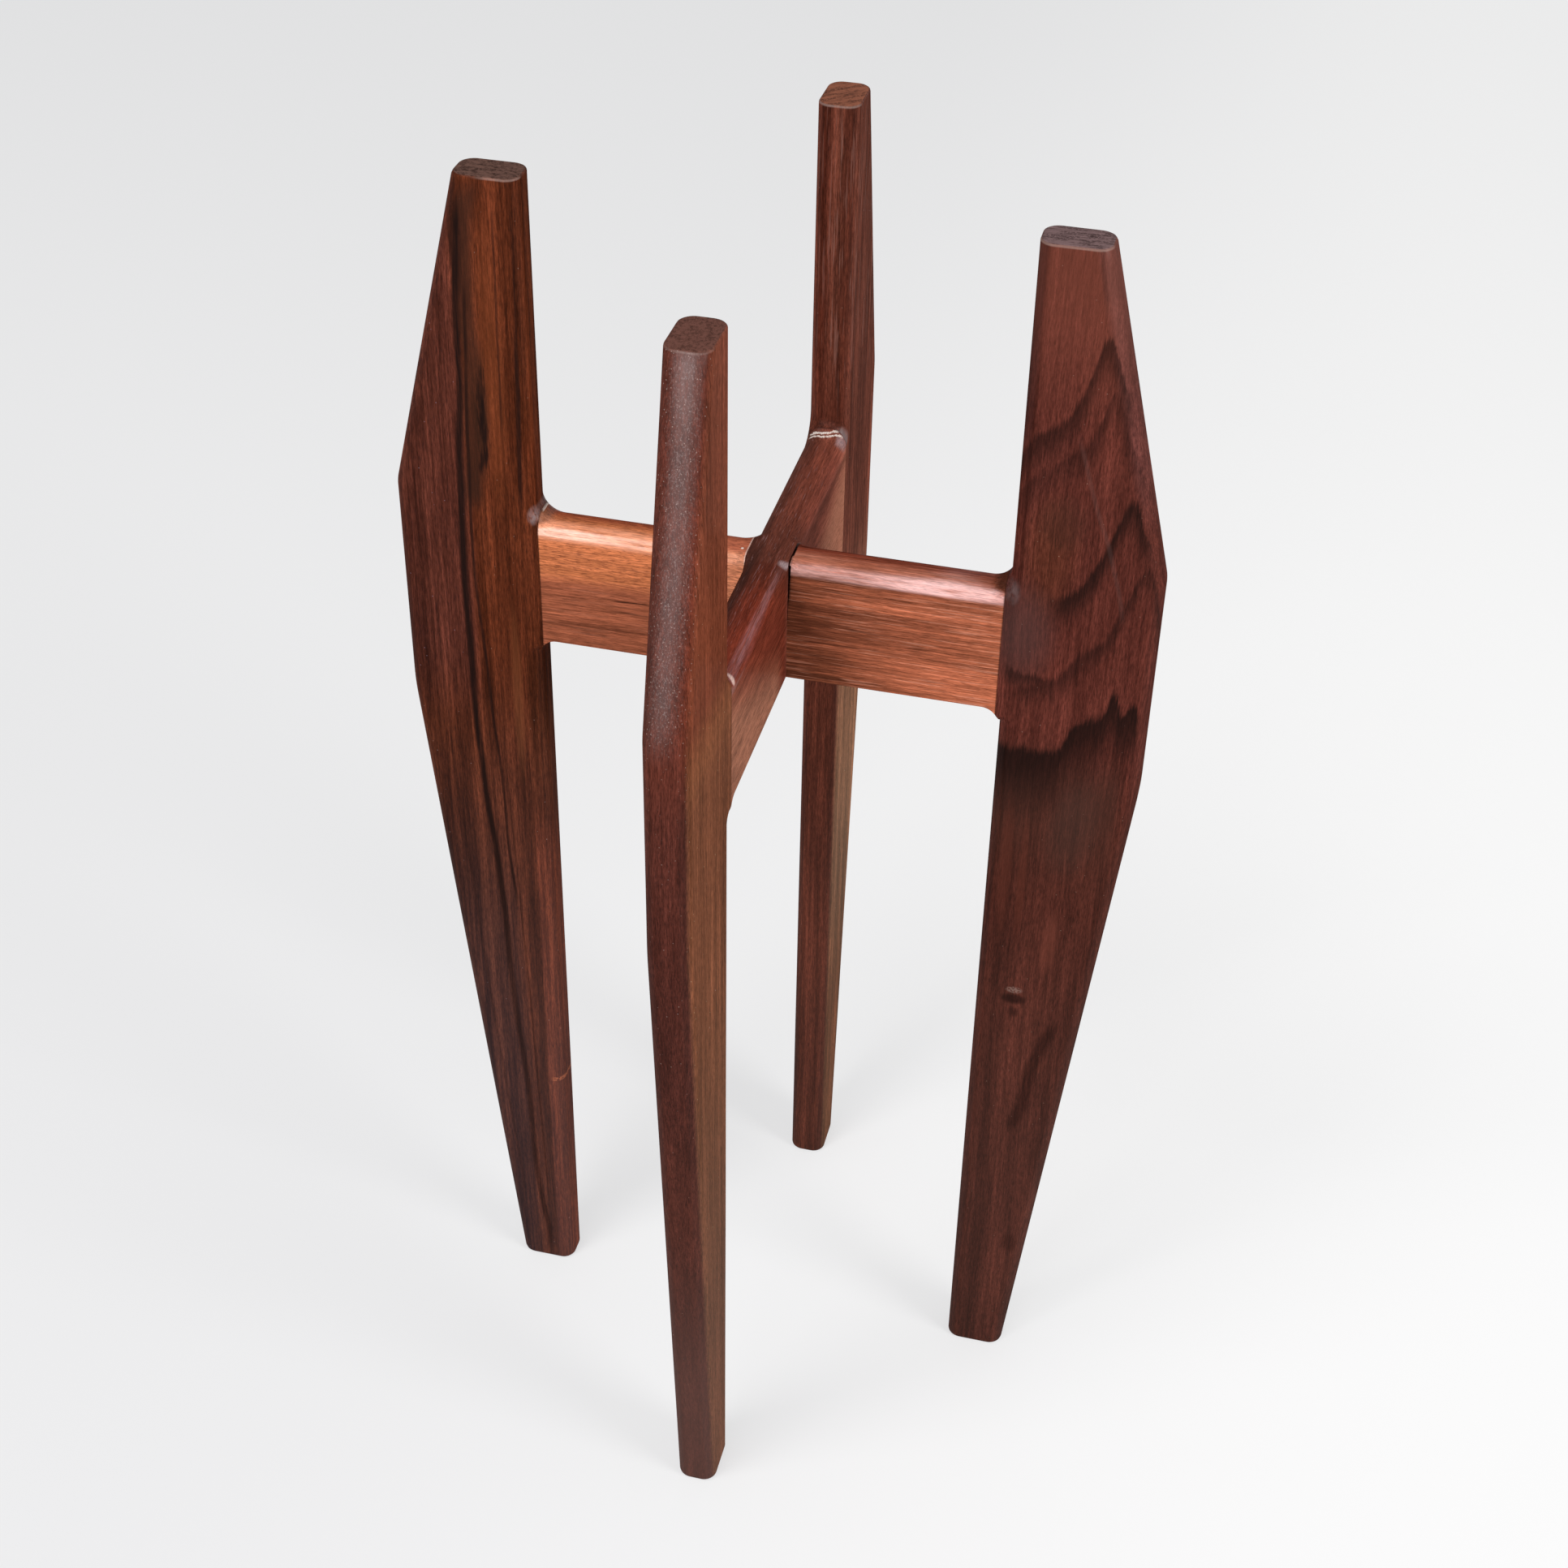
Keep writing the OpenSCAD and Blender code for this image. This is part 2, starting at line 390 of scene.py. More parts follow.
class Shade:
    """A finish and its node tree"""

    def __init__(self, name, kept_in=bpy.data.materials):
        self.finish = kept_in.new(name)
        self.finish.use_nodes = True
        self.tree = self.finish.node_tree
        self.tree.nodes.clear()

    def node(self, kind, settings=None, inputs=(), out=0):
        """A node of a kind. Its settings come first, then its inputs, by name or in order."""
        made = self.tree.nodes.new(kind)
        for key, value in (settings or {}).items():
            if key == "stops":
                ramp = made.color_ramp
                while len(ramp.elements) < len(value):
                    ramp.elements.new(0.5)
                for element, (place, colour) in zip(ramp.elements, value):
                    element.position, element.color = place, (*colour, 1)
            elif key == "points":
                points = made.mapping.curves[0].points
                while len(points) < len(value):
                    points.new(0.5, 0.5)
                for point, place in zip(points, value):
                    point.location = place
                made.mapping.update()
            else:
                setattr(made, key, value)
        pairs = inputs.items() if isinstance(inputs, dict) else enumerate(inputs)
        for key, value in pairs:
            socket = made.inputs[key]
            if isinstance(value, Wire):
                self.tree.links.new(value.socket, socket)
            else:
                socket.default_value = value
        return Wire(self, made.outputs[out]) if len(made.outputs) else None

    def mix(self, factor, low, high, blend="MIX"):
        """A mix of two colours. The sockets of a colour mix come after those for numbers and vectors."""
        low, high = [(*c, 1) if isinstance(c, tuple) and len(c) == 3 else c for c in (low, high)]
        return self.node("ShaderNodeMix", {"data_type": "RGBA", "blend_type": blend},
                         {0: factor, 6: low, 7: high}, out=2)


class Board(Shade):
    """The wood of one board: its own directions, its colour so far, and patterns that run with its grain"""

    def __init__(self, name, bearing, grain, seed, warp=6.0):
        super().__init__(name)
        self.grain, self.seed = grain, seed
        place = self.node("ShaderNodeTexCoord", out=3)
        self.place = self.node("ShaderNodeMapping", {"vector_type": "POINT"}, {
            "Vector": place, "Rotation": (0, 0, -math.radians(bearing)), "Scale": (1000, 1000, 1000)})
        drift = self.pattern(70, 190, 1, source=self.place, out=1)
        drift = self.vector("SUBTRACT", drift, (0.5, 0.5, 0.5))
        free = (warp, warp, warp * 0.2) if grain == "z" else (warp * 0.2, warp, warp)
        drift = self.vector("MULTIPLY", drift, free)
        self.warped = self.vector("ADD", self.place, drift)
        x, self.through, z = self.parts(self.place)
        self.along, self.across = (z, x) if grain == "z" else (x, z)
        warped = self.parts(self.warped)[0 if grain == "z" else 2]
        self.across_warped = self.across * 0.7 + warped * 0.3

    def parts(self, vector):
        split = self.node("ShaderNodeSeparateXYZ", None, [vector])
        return [Wire(self, socket) for socket in split.socket.node.outputs]

    def vector(self, operation, *inputs):
        return self.node("ShaderNodeVectorMath", {"operation": operation}, inputs)

    def vector_length(self, vector):
        return self.node("ShaderNodeVectorMath", {"operation": "LENGTH"}, [vector], out=1)

    def pattern(self, wide, long, detail=2.0, rough=0.5, source=None, out=0):
        """Noise whose marks are about so wide across the grain and so long along it"""
        self.seed += 7.31
        size = (1 / wide, 1 / wide, 1 / long) if self.grain == "z" else (1 / long, 1 / wide, 1 / wide)
        stretched = self.node("ShaderNodeVectorMath", {"operation": "MULTIPLY_ADD"},
                              [source or self.warped, size, (self.seed, self.seed * 1.7, self.seed * 0.6)])
        return self.node("ShaderNodeTexNoise", None, {
            "Vector": stretched, "Scale": 1.0, "Detail": detail, "Roughness": rough}, out=out)

    def lay(self, factor, colour):
        """Lays a colour over the wood's, as far as the factor says"""
        self.colour = self.mix(factor, self.colour, colour)

    def tint(self, factor, colour):
        """Multiplies the wood's colour by another, as far as the factor says"""
        self.colour = self.mix(factor, self.colour, colour, "MULTIPLY")

    def curve(self, value, low, high, points):
        """A smooth curve through points [place, value], where low to high covers all values"""
        places = [p for p, _ in points]
        first, last = min(places), max(places)
        unit = self.node("ShaderNodeMapRange", None, {"Value": value, "From Min": first, "From Max": last})
        drawn = sorted(((p - first) / (last - first), (v - low) / (high - low)) for p, v in points)
        found = self.node("ShaderNodeFloatCurve", {"points": drawn}, {"Value": unit})
        return found * (high - low) + low


def streak(board, path, width, start, end, fade=25.0):
    """A dark line that runs along the grain: its path is [along, across]"""
    middle = board.curve(board.along, 100, 175, path)
    off = abs(board.across_warped - middle) / width
    return off.rise(1.0, 0.25) * board.along.rise(start - fade, start) * board.along.rise(end + fade, end)


def flame(board, along, path, crisp, fade, start, end, edge=4.0):
    """A dark line across the grain, sharp above and fading out below: its path is [across, along]"""
    line = board.curve(board.across, 0, 630, path)
    below = line - along
    sides = board.across.rise(start - edge, start) * board.across.rise(end + edge, end)
    return below.rise(-crisp, 0) * below.rise(fade, 0) * sides


def blot(board, across, along, wide, long, soft=0.3, lean=0.0):
    """A soft oval, leaning so far across for each unit along"""
    y = (board.along - along) / long
    x = (board.across_warped - across - (board.along - along) * lean) / wide
    return (x * x + y * y).rise(1.0, soft)


def drop(board, x, y, z, size):
    """A small round dot at one place on a board"""
    off = board.vector_length(board.vector("SUBTRACT", board.place, (x, y, z)))
    return off.rise(size, size * 0.5)


def specks(board, apart, size, share, seed=0.0):
    """Small round dots on a loose grid, of which a share shows"""
    place = board.vector("ADD", board.place, (seed, seed, seed))
    off = board.node("ShaderNodeTexVoronoi", None, {"Vector": place, "Scale": 1 / apart})
    draw = board.parts(Wire(board, off.socket.node.outputs["Color"]))[0]
    return off.rise(size / apart, size / apart * 0.4) * draw.rise(1 - share, 1.01 - share)


def fibres(board, wide, long, depth):
    """Lays short light and dark fibres over the wood"""
    light = board.pattern(wide, long, 2, 0.75).rise(0.30, 0.70)
    board.tint(1.0, board.mix(light, (1 - depth,) * 3, (1 + depth,) * 3))


def tones(reds, green, blue):
    """A wood's colours from its darkest to its lightest line, with these shares of green and blue"""
    return [(place, (red, red * green, red * blue)) for place, red in zip((0.10, 0.38, 0.62, 0.90), reds)]


DARK = (0.012, 0.0055, 0.0045)
OLIVE = (0.016, 0.0090, 0.0055)
GLUE = (0.72, 0.62, 0.56)
# the colour of a painted sheen
PAINTED_SHEEN = (0.27, 0.215, 0.22)
PORE = (0.016, 0.007, 0.005)
# light specks: dust in the pores, and painted glints
DUST_AND_GLINTS = (0.40, 0.25, 0.20)


def wood_finish(board, bump, rough, gloss):
    """Closes a board's node tree with an oiled surface. gloss is how far it has been polished."""
    relief = board.node("ShaderNodeBump", None, {"Strength": 0.5, "Distance": 0.00012, "Height": bump})
    surface = board.node("ShaderNodeBsdfPrincipled", None, {
        "Base Color": board.colour, "Roughness": rough, "Normal": relief, "Coat Weight": gloss,
        "Specular IOR Level": 0.0, "Coat Roughness": 0.26, "Coat IOR": 1.5})
    board.node("ShaderNodeOutputMaterial", None, {"Surface": surface})
    return board.finish


def leg_board(name, side, seed, colours, warp=6.0, contrast=1.0):
    """The wood of a leg before its own marks"""
    board = Board(name, BEARINGS[side], "z", seed, warp)
    board.hair = board.pattern(0.45, 16, 2, 0.6)
    line = board.pattern(1.5, 60, 2, 0.55)
    band = board.pattern(6, 240, 2, 0.5)
    cloud = board.pattern(26, 90, 2, 0.5)
    tone = (board.hair - 0.5) * 0.65 + (line - 0.5) * 0.95 + (band - 0.5) * 0.95 + (cloud - 0.5) * 0.5
    board.pores = board.pattern(0.33, 4.5, 1, 0.5).rise(0.60, 0.72)
    normal = board.node("ShaderNodeNewGeometry", out=1)
    board.facing = board.parts(normal)
    board.colour = board.node("ShaderNodeValToRGB", {"stops": colours}, [tone * contrast + 0.5])
    fibres(board, 0.5, 4.0, 0.34)
    board.lay(board.pores * 0.5, PORE)
    board.lay(board.along.rise(440, 90) * 0.26, (0.060, 0.041, 0.037))
    # sparse light specks, partly dust in the pores and partly painted glints
    board.lay(specks(board, 4.5, 0.30, 0.5) * 0.42, DUST_AND_GLINTS)
    return board


def cut_end(board, light, dark, long, wide, turn, bright):
    """Wood cut across its grain, in bands so long and wide and turned so far, with a fine painted highlight
    along the front of its top edge, as strong as bright says
    """
    board.cut = abs(board.facing[2]).rise(0.75, 0.95)
    turned = board.node("ShaderNodeMapping", {"vector_type": "TEXTURE"}, {
        "Vector": board.place, "Rotation": (0, 0, math.radians(turn)), "Scale": (long, wide, 20)})
    bands = board.node("ShaderNodeTexNoise", None, {
        "Vector": turned, "Scale": 1.0, "Detail": 3.0, "Roughness": 0.65}).rise(0.36, 0.62)
    dots = board.pattern(1.0, 1.2, 3, 0.8, source=board.place).rise(0.44, 0.62)
    colour = board.mix((bands * 0.75 + 0.1).at_least(dots * 0.85), dark, light)
    # a painted highlight on the front-facing part of the top edge
    arris_highlight = board.along.rise(STAND_H - 1.3, STAND_H - 0.7) * (1 - board.cut) * board.facing[1].rise(0.1, -0.3)
    board.lay(arris_highlight * bright, (0.42, 0.30, 0.26))
    board.lay(board.cut, colour)


def finish_leg(board, gloss=0.0):
    """Its faces are sanded dull and its rounded edges are rubbed brighter"""
    flat = abs(board.facing[0]).at_least(abs(board.facing[1]))
    edge = flat.rise(0.97, 0.86) * (1 - board.cut)
    bump = board.hair * 0.5 - board.pores * 0.9 + board.cut * board.hair * 0.6
    rough = (board.hair - 0.5) * 0.14 + 0.5 + board.pores * 0.15 + board.cut * 0.15
    polish = (edge * 0.05 + 0.025 + gloss) * (board.hair * 0.8 + 0.6)
    return wood_finish(board, bump, rough, polish.at_most(1.0))


def left_leg_wood():
    """Straight grain with long dark streaks and golden patches"""
    board = leg_board("leg_left_wood", "left", 3.0, tones((0.030, 0.062, 0.105, 0.180), 0.23, 0.09), warp=3.0)
    main = streak(board, [(24, 118), (62, 122.4), (132, 124.8), (160, 127.1), (188, 129), (215, 130.3),
                          (241, 131), (267, 132.6), (292, 134.3), (316, 136.5), (340, 137.6), (364, 138.9),
                          (409, 139.2), (452, 139.4), (487, 138.1), (513, 137.2), (533, 135.6), (571, 135.1),
                          (590, 133.8), (611, 132.2)], 2.5, 20, 608)
    second = streak(board, [(258, 124.6), (292, 127.4), (316, 127.6), (340, 128.6), (364, 130.6),
                            (386, 131.4), (446, 134.7), (493, 133.9), (520, 133.4), (546, 132),
                            (590, 130.4)], 1.1, 265, 572, 20)
    outer = streak(board, [(60, 131), (250, 146), (400, 154), (600, 150)], 1.1, 60, 420)
    fine = streak(board, [(50, 117), (200, 121), (400, 127.5), (600, 128)], 0.9, 60, 330)
    right = streak(board, [(420, 112), (505, 110.6), (545, 109.6), (615, 111)], 1.5, 495, 548)
    top = streak(board, [(500, 118), (560, 117.2), (612, 116.6)], 0.8, 530, 605)
    edge_line = streak(board, [(500, 109.5), (612, 108.6)], 0.7, 545, 600)
    torn = (board.hair - 0.5) * 0.5 + (board.pattern(1.0, 9, 2, 0.6) - 0.5) * 1.1
    core = streak(board, [(489, 128.3), (500, 126.8), (511, 125.7), (521, 126.7), (534, 126.5), (547, 125.1)],
                  3.4, 500, 536, 16)
    core = (core * 0.9 + torn * 1.5).rise(0.35, 1.15)
    lens = (blot(board, 126.6, 524, 4.6, 44, -0.3) + torn).rise(0.25, 0.85)
    shade = streak(board, [(470, 133.5), (491, 132.0), (509, 130.0), (523, 129.2), (537, 128.8), (550, 129.2),
                           (562, 130.4), (588, 130.4), (600, 130.2), (612, 129.3), (626, 126.3)],
                   6.6, 484, 618, 14)
    wide = blot(board, 129.6, 522, 8.0, 44, 0.1)
    wine = board.across.rise(132, 139) * board.along.rise(350, 410)
    rim = blot(board, 133.5, 603, 4.0, 34, 0.1)
    gold = blot(board, 117.4, 380, 3.6, 58, -0.3)
    warm = blot(board, 120.5, 545, 7.0, 80, 0.0)
    inner = board.along.rise(404, 397) * board.across.rise(113.6, 112.4)
    board.lay(gold * (board.hair + 0.1), (0.195, 0.056, 0.021))
    board.lay(warm * 0.3, (0.165, 0.042, 0.014))
    board.tint(wine, (0.95, 1.1, 1.75))
    # painted shade on the inward face just below the rail, and painted light on it lower down
    board.tint(inner * board.along.rise(320, 370) * 0.2, (0.60, 0.80, 0.70))
    board.tint(inner * board.along.rise(320, 280), (1.62, 1.48, 1.46))
    grey = board.along.rise(330, 220) * board.across.rise(119, 128)
    board.tint(board.along.rise(410, 320), (0.95, 1.08, 1.30))
    board.tint(grey, (0.78, 0.92, 1.08))
    board.lay((shade * 0.75).at_least(wide * 0.75), (0.033, 0.0130, 0.0082))
    patchy = board.pattern(1.6, 26, 2, 0.6).rise(0.25, 0.6) * 0.2 + 0.8
    main = main * patchy * (board.along.rise(190, 290) * 0.35 + 0.65)
    dark = main.at_least(second * patchy * 0.8).at_least(core).at_least(outer * 0.25).at_least(fine * 0.45)
    dark = dark.at_least(right * 0.75).at_least(top * 0.6).at_least(edge_line * 0.5).at_least(rim * 0.7)
    board.lay(lens * 0.45, OLIVE)
    board.lay(dark * (1.15 - board.hair * 0.35), DARK)
    # a painted sheen patch beside the rail's top, where the coat is glossier too
    painted_sheen = blot(board, 106.2, 474.8, 3.0, 5.0, -0.6) * board.pattern(1.6, 4, 3, 0.6).rise(0.20, 0.62)
    board.lay(painted_sheen * 0.85, PAINTED_SHEEN)
    scratch = blot(board, 108.0, 136, 4.6, 1.9, 0.2) * board.pattern(1.2, 1.0, 2).rise(0.38, 0.55)
    board.lay(scratch * 0.7, (0.36, 0.115, 0.06))
    # the strength of the painted highlight along the front of the top edge
    bright = board.across.rise(126, 116) * 0.3
    cut_end(board, (0.160, 0.084, 0.066), (0.026, 0.013, 0.010), 3.0, 1.3, -8, bright)
    return finish_leg(board, painted_sheen * 0.5)


def right_leg_wood():
    """Figured grain: dark flames across the width, a broad dark band and a knot"""
    board = leg_board("leg_right_wood", "right", 41.0, tones((0.034, 0.064, 0.100, 0.165), 0.25, 0.175),
                      warp=8.0, contrast=0.8)
    ragged = board.pattern(0.7, 12, 3, 0.7)
    billow = board.pattern(9, 26, 2, 0.5)
    along = board.along + (ragged - 0.5) * 11 + (billow - 0.5) * 9 + (board.through + HALF_T) * 1.6
    first = flame(board, along, [(107, 541), (117, 549), (124.7, 557), (129.4, 567), (136.8, 592),
                                 (143.6, 576), (150, 556)], 4.5, 22, 106, 143, 10)
    second = flame(board, along, [(107, 522), (113.4, 528), (127.7, 541), (134.4, 547), (142.2, 569),
                                  (149, 550), (156, 535)], 5.0, 20, 110, 148, 12)
    third = flame(board, along, [(107, 476), (120, 470), (139, 483), (144.6, 498), (154.3, 522),
                                 (160, 506), (168, 498)], 5.0, 20, 130, 158, 10)
    fourth = flame(board, along, [(107, 424), (125, 428), (141.2, 445), (149.6, 457), (156, 475),
                                  (163.2, 489), (170, 470)], 5.0, 14, 118, 167, 12)
    blot_edge = flame(board, along, [(105, 436), (112, 432), (120, 431), (128, 425), (131, 418)],
                      2.5, 10, 109, 127, 4)
    band = flame(board, along, [(105, 397), (109.8, 391), (120, 391), (133.6, 393), (136.2, 401),
                                (144.3, 410), (151.8, 416), (154, 426), (158.6, 417), (165, 420),
                                (171, 380)], 5.5, 44, 105, 165, 2.0)
    brown = board.along.rise(300, 372) * board.along.rise(402, 372) * board.across.rise(166, 158)
    haze = blot(board, 143, 352, 15, 34, -0.2, 0.1)
    ochre = blot(board, 122, 492, 15, 36, -0.4)
    contour = streak(board, [(466, 154), (478, 151.5), (490, 148), (501, 144.8), (513, 140.2), (528, 135.2),
                             (538, 132.2), (547, 129.3)], 1.5, 474, 540, 12)
    knurl = streak(board, [(600, 135), (627, 130.2)], 1.4, 611, 629, 5)
    inner = board.across.rise(111.4, 108.8) * board.along.rise(525, 560)
    slope = board.across + (board.along - UPPER_KNEE_Z) * 0.2407
    outer = slope.rise(162.5, 167) * board.along.rise(500, 540)
    strips = blot(board, 114.5, 325, 4.0, 50, 0.0).at_least(blot(board, 122.5, 318, 2.8, 46, 0.0))
    grey = blot(board, 113, 452, 18, 31, -0.4)
    mid = blot(board, 126, 508, 13, 17, 0.0)
    pale = blot(board, 138, 284, 4.6, 24, 0.1, 0.05) * (board.hair * 0.8 + 0.5)
    knot = blot(board, 124.2, 246.5, 7.4, 4.0, 0.1).at_least(blot(board, 124.6, 238, 3.8, 4.2, 0.0) * 0.7)
    knot_eye = blot(board, 124.2, 252.0, 4.8, 2.4, 0.1) * board.pattern(0.9, 0.9, 2).rise(0.35, 0.55)
    below = streak(board, [(160, 128), (178, 132.6), (206, 136.3), (236, 145)], 4.6, 170, 226, 14)
    smudge = blot(board, 133, 80, 5, 9, 0.0)
    lower = board.along.rise(400, 350)
    board.lay(board.along.rise(545, 622) * 0.5, (0.152, 0.043, 0.027))
    # painted shade on the inner rounding, and painted light on the outer rounding
    board.tint(inner, (0.66, 0.70, 0.74))
    board.tint(outer, (1.15, 1.38, 1.60))
    board.tint(lower, (0.84, 0.86, 0.80))
    board.tint(ochre, (1.0, 1.09, 0.84))
    board.lay(grey * 0.72, (0.066, 0.033, 0.030))
    board.lay(mid * 0.4, (0.040, 0.016, 0.011))
    board.lay(brown * 0.5, (0.045, 0.021, 0.015))
    board.lay(haze * 0.35, (0.050, 0.028, 0.022))
    board.lay(strips * 0.35, (0.110, 0.028, 0.017))
    board.lay(pale * 0.5, (0.135, 0.037, 0.024))
    dark = (first * 0.7).at_least(second * 0.5).at_least(third * 0.85).at_least(fourth * 0.6)
    dark = dark.at_least(blot_edge * 0.65).at_least(band * 0.92).at_least(knot * 0.75)
    dark = dark.at_least(below * 0.6).at_least(smudge * 0.45).at_least(knurl * 0.35)
    board.lay(dark * (1.2 - board.hair * 0.4), DARK)
    board.lay(contour * 0.075, (0.19, 0.12, 0.11))
    board.lay(knot_eye * 0.6, (0.24, 0.155, 0.13))
    # a faint painted sheen beside the rail's top, where the coat is a little glossier
    painted_sheen = blot(board, 107.5, 472, 4.0, 7.5, -0.3) * board.pattern(2.5, 6, 3, 0.6).rise(0.20, 0.75)
    board.lay(painted_sheen * 0.28, PAINTED_SHEEN)
    cut_end(board, (0.230, 0.145, 0.146), (0.034, 0.019, 0.018), 6.0, 1.1, 4, 0.3)
    return finish_leg(board, painted_sheen * 0.2)


def front_leg_wood():
    """The outer face has a painted grey sheen above the knees, with a glossier coat there, and dark pits
    below. The right face is browner.
    """
    board = leg_board("leg_front_wood", "front", 77.0, tones((0.035, 0.068, 0.108, 0.185), 0.255, 0.165),
                      warp=4.0, contrast=0.65)
    side = board.through.rise(7.5, 9.4)
    above, below = board.along.rise(440, 500), board.along.rise(480, 430)
    board.tint(board.through.rise(5.0, 9.3) * above, (1.60, 1.30, 0.95))
    board.tint(side * above, (1.28, 1.62, 1.70))
    board.tint(board.through.rise(4.5, 7.0) * board.along.rise(510, 625), (0.84, 0.90, 1.02))
    board.tint(side * board.along.rise(490, 455), (1.95, 2.65, 2.0))
    board.tint(side * board.along.rise(330, 60), (1.06, 1.05, 1.20))
    board.tint((1 - side) * below, (0.84, 0.86, 0.86))
    board.tint((1 - side) * below * board.along.rise(210, 320), (0.84, 0.88, 0.94))
    board.lay((1 - side) * board.along.rise(210, 60) * 0.35, (0.125, 0.070, 0.060))
    outward = -board.facing[1]
    pitted = outward.rise(0.3, 0.8) * board.along.rise(470, 430) * board.along.rise(180, 280)
    pits = board.pattern(0.9, 3.2, 3, 0.8).rise(0.50, 0.68) * pitted
    board.lay(pits * 0.5, (0.024, 0.010, 0.009))
    outer = outward.rise(0.5, 0.9) * board.along.rise(470, 500)
    middle = board.along.rise(590, 450) * -3.6 + 1.4
    mottle = board.pattern(2.4, 14, 3, 0.7).rise(0.25, 0.75)
    veil = abs(board.through - middle).rise(8.4, 0.5) * (mottle * 0.35 + 0.65)
    # painted sheen: the grey laid on the outer face above the knees stands for a reflection, and the coat
    # there is glossier too
    painted_grey_sheen = outer * veil
    board.lay(painted_grey_sheen * (board.along.rise(590, 628) * 0.28 + 0.30), (0.175, 0.112, 0.106))
    # light specks in it, partly dust in the pores and partly painted glints
    dust_and_glints = board.pattern(0.62, 1.1, 2, 0.8).rise(0.52, 0.66) * (outer * (veil * 0.8 + 0.2))
    board.lay(dust_and_glints * 0.44, (0.300, 0.225, 0.215))
    dots = specks(board, 1.5, 0.30, 0.6, 9.0) * outward.rise(0.1, 0.6) * board.along.rise(420, 500)
    chips = specks(board, 15, 0.45, 0.5, 4.0).at_least(specks(board, 3.2, 0.34, 0.22, 2.0) * 0.6 * pitted)
    shadow = board.through.rise(-5.5, -9.3) * outer
    board.lay(shadow * 0.8, (0.028, 0.011, 0.009))
    board.lay((dots * 0.5).at_least(chips * 0.7), (0.46, 0.34, 0.30))
    cut_end(board, (0.165, 0.070, 0.054), (0.056, 0.024, 0.018), 1.6, 1.3, 0, 0.14)
    return finish_leg(board, painted_grey_sheen * 0.2)


def back_leg_wood():
    """Wavy light and dark lines, browner low on its right face"""
    board = leg_board("leg_back_wood", "back", 112.0, tones((0.034, 0.070, 0.112, 0.195), 0.255, 0.150),
                      warp=6.0, contrast=0.95)
    wavy = board.pattern(1.1, 34, 2, 0.5).rise(0.56, 0.66) * board.along.rise(470, 520)
    side = board.through.rise(-7.5, -9.4)
    board.lay(wavy * 0.35, (0.225, 0.100, 0.078))
    upper = board.along.rise(470, 520) * 0.85
    board.tint(abs(board.through + 1.3).rise(4.2, 0.8) * upper, (1.22, 1.36, 1.40))
    board.tint(abs(board.through - 5.4).rise(3.4, 0.8) * upper, (0.80, 0.70, 0.66))
    board.tint(side, (1.5, 1.66, 1.75))
    board.tint(side * board.along.rise(420, 300), (1.24, 1.45, 1.10))
    board.tint(side * board.along.rise(420, 330) * board.along.rise(90, 260), (1.40, 1.80, 2.0))
    board.tint((1 - side) * board.along.rise(420, 300), (0.90, 0.88, 0.85))
    # a painted sheen by the joint, where the coat is glossier too
    painted_sheen = blot(board, 104.5, 471.5, 4.5, 5.5, -0.8) * board.through.rise(-1.5, -8.0)
    board.lay(painted_sheen * 0.9, PAINTED_SHEEN)
    cut_end(board, (0.310, 0.112, 0.066), (0.060, 0.024, 0.017), 8.0, 2.2, -48, 0.3)
    return finish_leg(board, painted_sheen * 0.5)


def rail_board(name, bearing, seed, warp=3.0):
    """The wood of a rail before its own marks: fine straight grain along it"""
    board = Board(name, bearing, "x", seed, warp)
    board.hair = board.pattern(0.32, 16, 3, 0.65)
    line = board.pattern(0.9, 45, 2, 0.55)
    band = board.pattern(5, 160, 2, 0.5)
    board.tone = (board.hair - 0.5) + (line - 0.5) * 0.8 + (band - 0.5) * 0.7 + 0.5
    board.pores = board.pattern(0.35, 5, 1, 0.5).rise(0.60, 0.70)
    board.upward = board.parts(board.node("ShaderNodeNewGeometry", out=1))[2]
    return board


def finish_rail(board, gloss):
    """Dark seams at its ends, and rounded upper edges that are rubbed bright"""
    fibres(board, 0.45, 6.0, 0.26)
    board.lay(abs(board.along).rise(103.3, 103.9) * 0.6, DARK)
    top = board.across.rise(462.5, 465) * board.upward.rise(1.0, 0.85)
    bump = board.hair * 0.5 - board.pores * 0.9
    rough = (board.hair - 0.5) * 0.12 + 0.48 + board.pores * 0.15
    polish = (top * gloss + 0.03) * (board.hair * 1.1 + 0.45)
    return wood_finish(board, bump, rough, polish.at_most(1.0))


